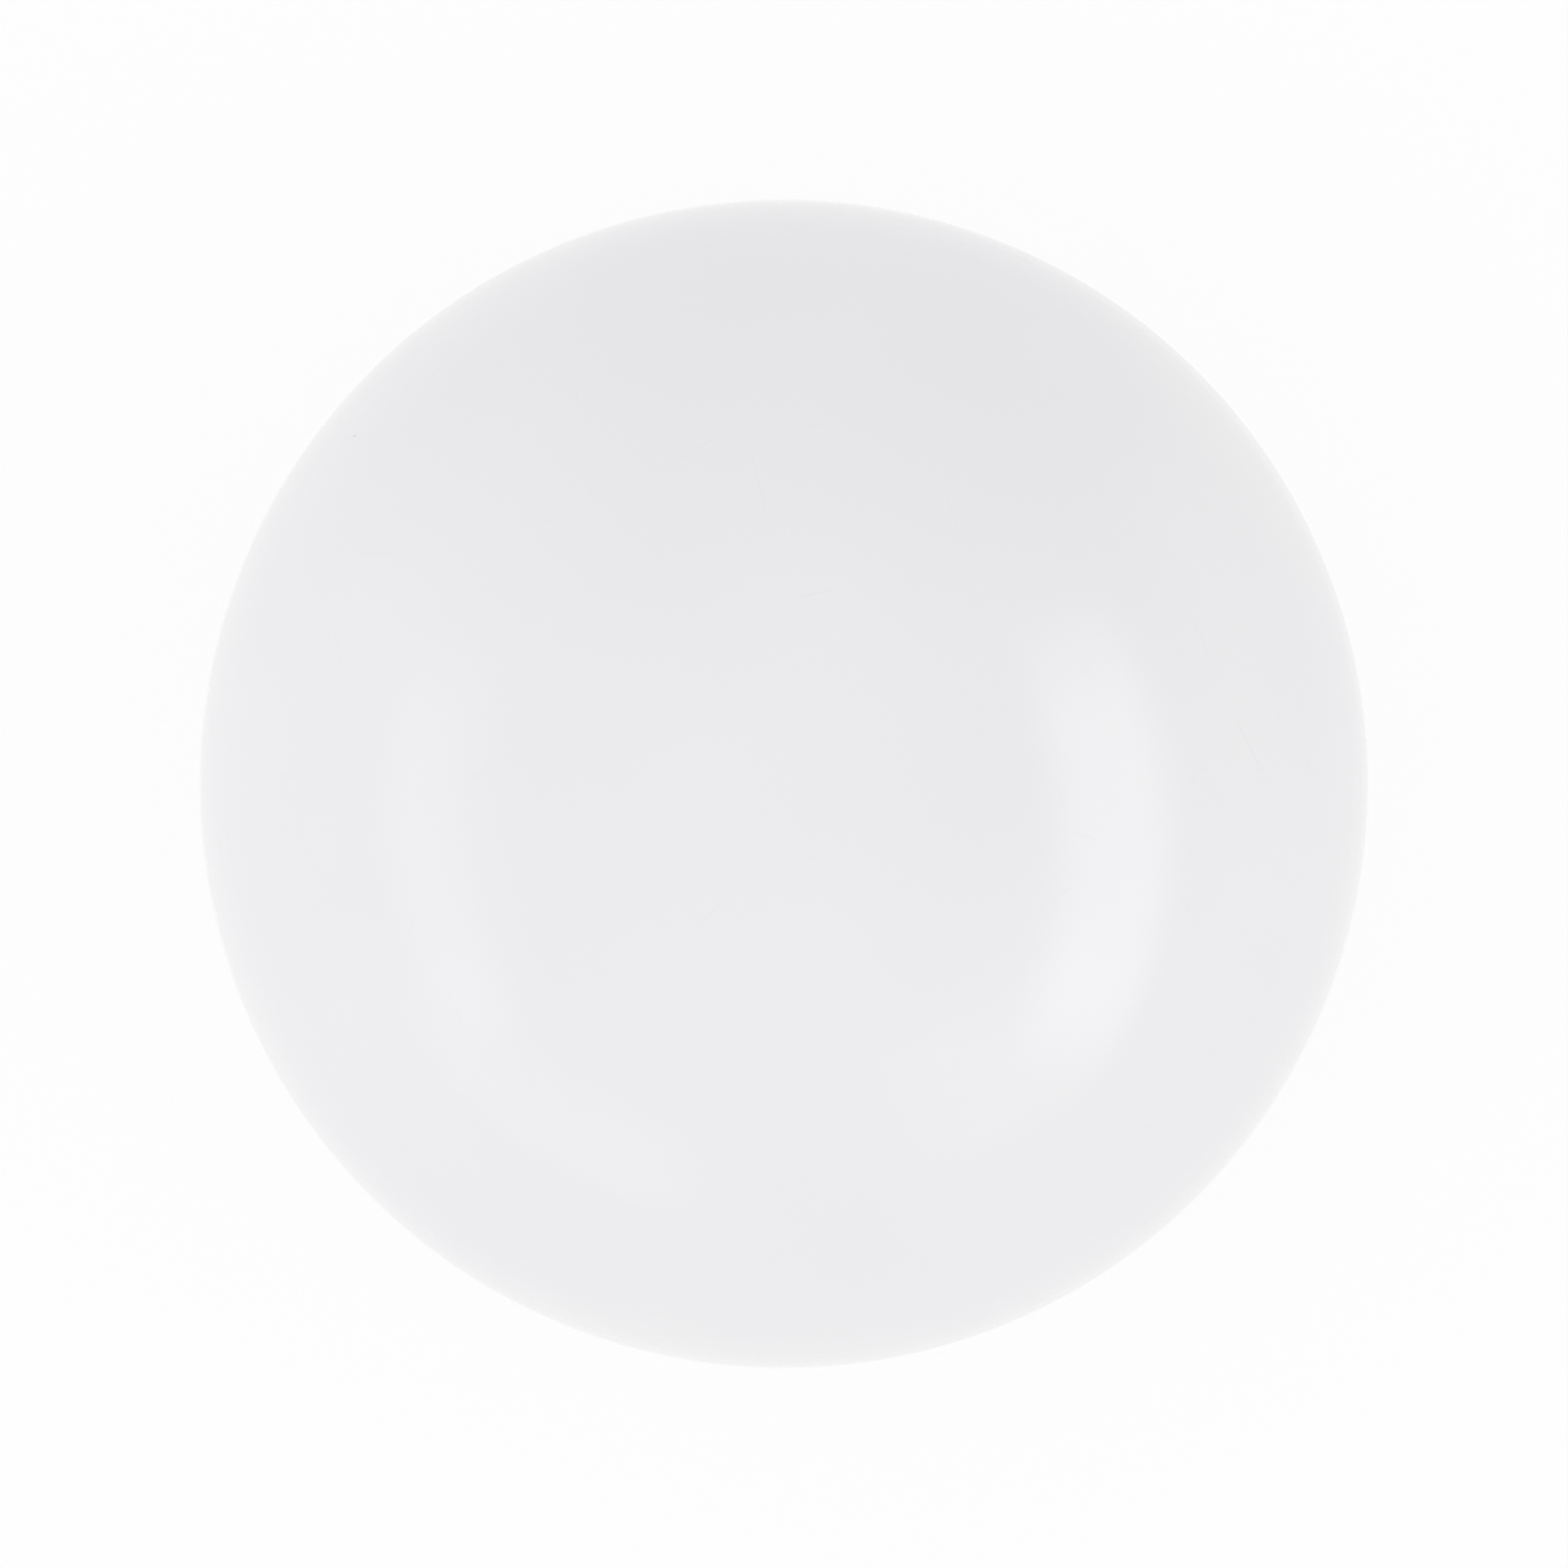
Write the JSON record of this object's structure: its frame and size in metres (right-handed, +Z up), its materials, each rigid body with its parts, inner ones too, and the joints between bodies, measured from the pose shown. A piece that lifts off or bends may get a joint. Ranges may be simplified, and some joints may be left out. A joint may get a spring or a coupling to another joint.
{
  "type": "cue ball",
  "caption": "Smooth white pool ball of polished cast resin around a steel core, struck with the cue to drive the other balls.",
  "frame": {"origin": "centre of the ball", "axes": "+Z up, away from the cloth that the ball stands on; the ball is the same about every axis"},
  "size_m": [0.0572, 0.0572, 0.0572],
  "materials": {
    "phenolic_white": "polished",
    "core_steel": "satin"
  },
  "bodies": {
    "root": {"resin_body": "phenolic_white", "steel_core": "core_steel"}
  },
  "joints": []
}
